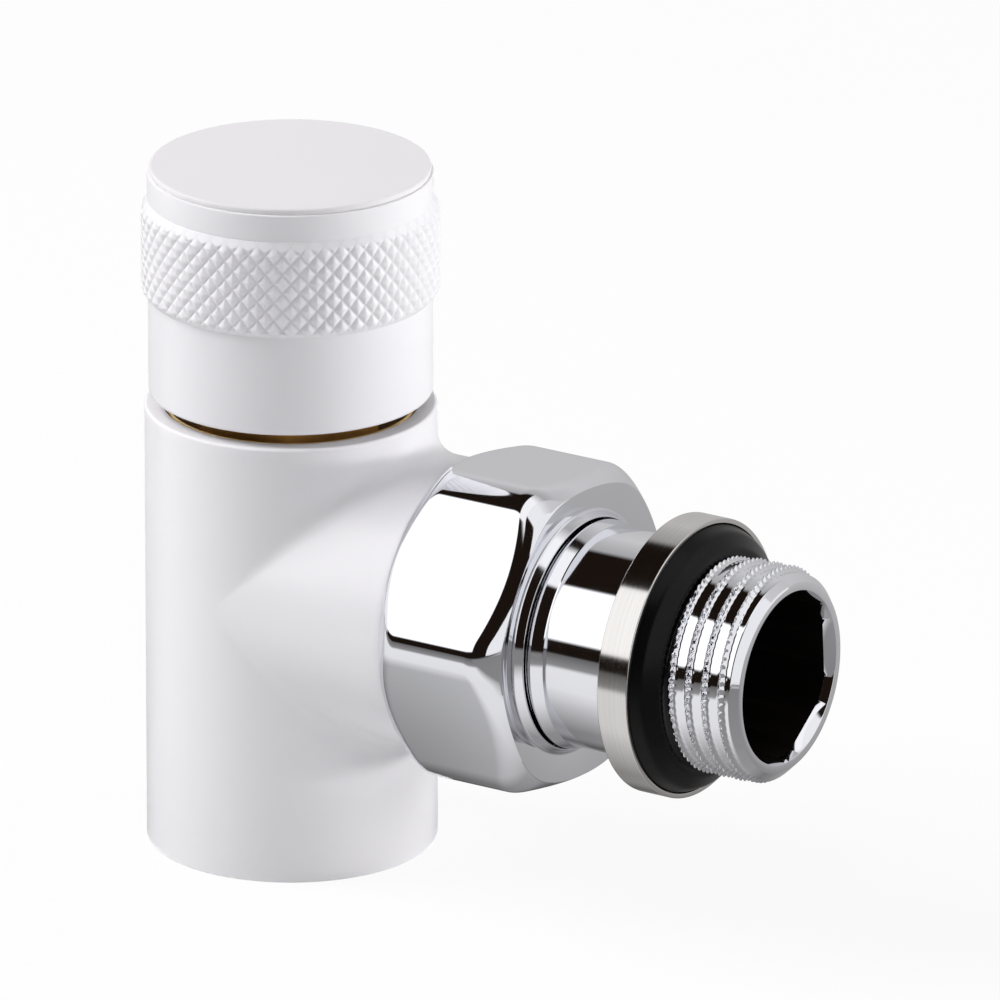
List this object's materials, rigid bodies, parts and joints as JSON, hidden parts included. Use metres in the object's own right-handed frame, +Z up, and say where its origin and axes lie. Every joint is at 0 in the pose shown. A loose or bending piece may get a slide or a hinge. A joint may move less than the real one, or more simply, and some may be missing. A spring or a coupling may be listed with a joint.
{
  "type": "manual radiator valve",
  "caption": "Angle radiator valve in white lacquer with a diamond-knurled hand knob, a chromed union nut and a threaded tailpiece with a gasket ring.",
  "frame": {"origin": "centre of the body's flat bottom face, where the supply pipe comes in", "axes": "+Z runs up the spindle to the knob, +X runs out of the outlet towards the radiator, and -Y is the side nearer to the camera in the picture"},
  "size_m": [0.0703, 0.0338, 0.0679],
  "materials": {
    "white_lacquer": "satin white lacquer",
    "knob_white": "satin white, diamond knurl",
    "cap_white": "satin off-white",
    "chrome": "polished",
    "nickel": "fine turned satin nickel",
    "brass": "turned",
    "rubber": "black, semi-gloss",
    "steel": "plain",
    "fibre": "pressed fibre"
  },
  "bodies": {
    "valve_body": {"body": "white_lacquer", "bonnet": "brass", "bonnet_seal": "fibre", "thrust_washer": "fibre", "tailpiece": "chrome", "tail_oring": "rubber", "sealing_collar": "nickel", "collar_oring": "rubber"},
    "knob": {"handwheel": "knob_white", "handle_insert": "brass", "handle_screw": "steel", "handle_screw_washer": "steel", "handle_cap": "cap_white", "stem": "brass", "stem_circlip": "steel", "stem_oring_lower": "rubber", "stem_oring_upper": "rubber"},
    "shutter_group": {"shutter": "brass", "seat_washer": "rubber", "washer_screw": "steel"},
    "nut": {"union_nut": "chrome"}
  },
  "joints": [
    {"name": "handle_turn", "type": "hinge", "parent": "valve_body", "child": "knob", "pos_m": [0, 0, 0.056], "axis": [0, 0, 1], "range_deg": [0, 1080]},
    {"name": "shutter_lift", "type": "slide", "parent": "valve_body", "child": "shutter_group", "axis": [0, 0, 1], "range_m": [0, 0.0045]},
    {"name": "union_nut_turn", "type": "hinge", "parent": "valve_body", "child": "nut", "pos_m": [0.026, 0, 0.027], "axis": [1, 0, 0], "continuous": true}
  ],
  "couplings": [
    {"joint": "shutter_lift", "follows": "handle_turn", "m_per_rad": 0.00023873}
  ]
}
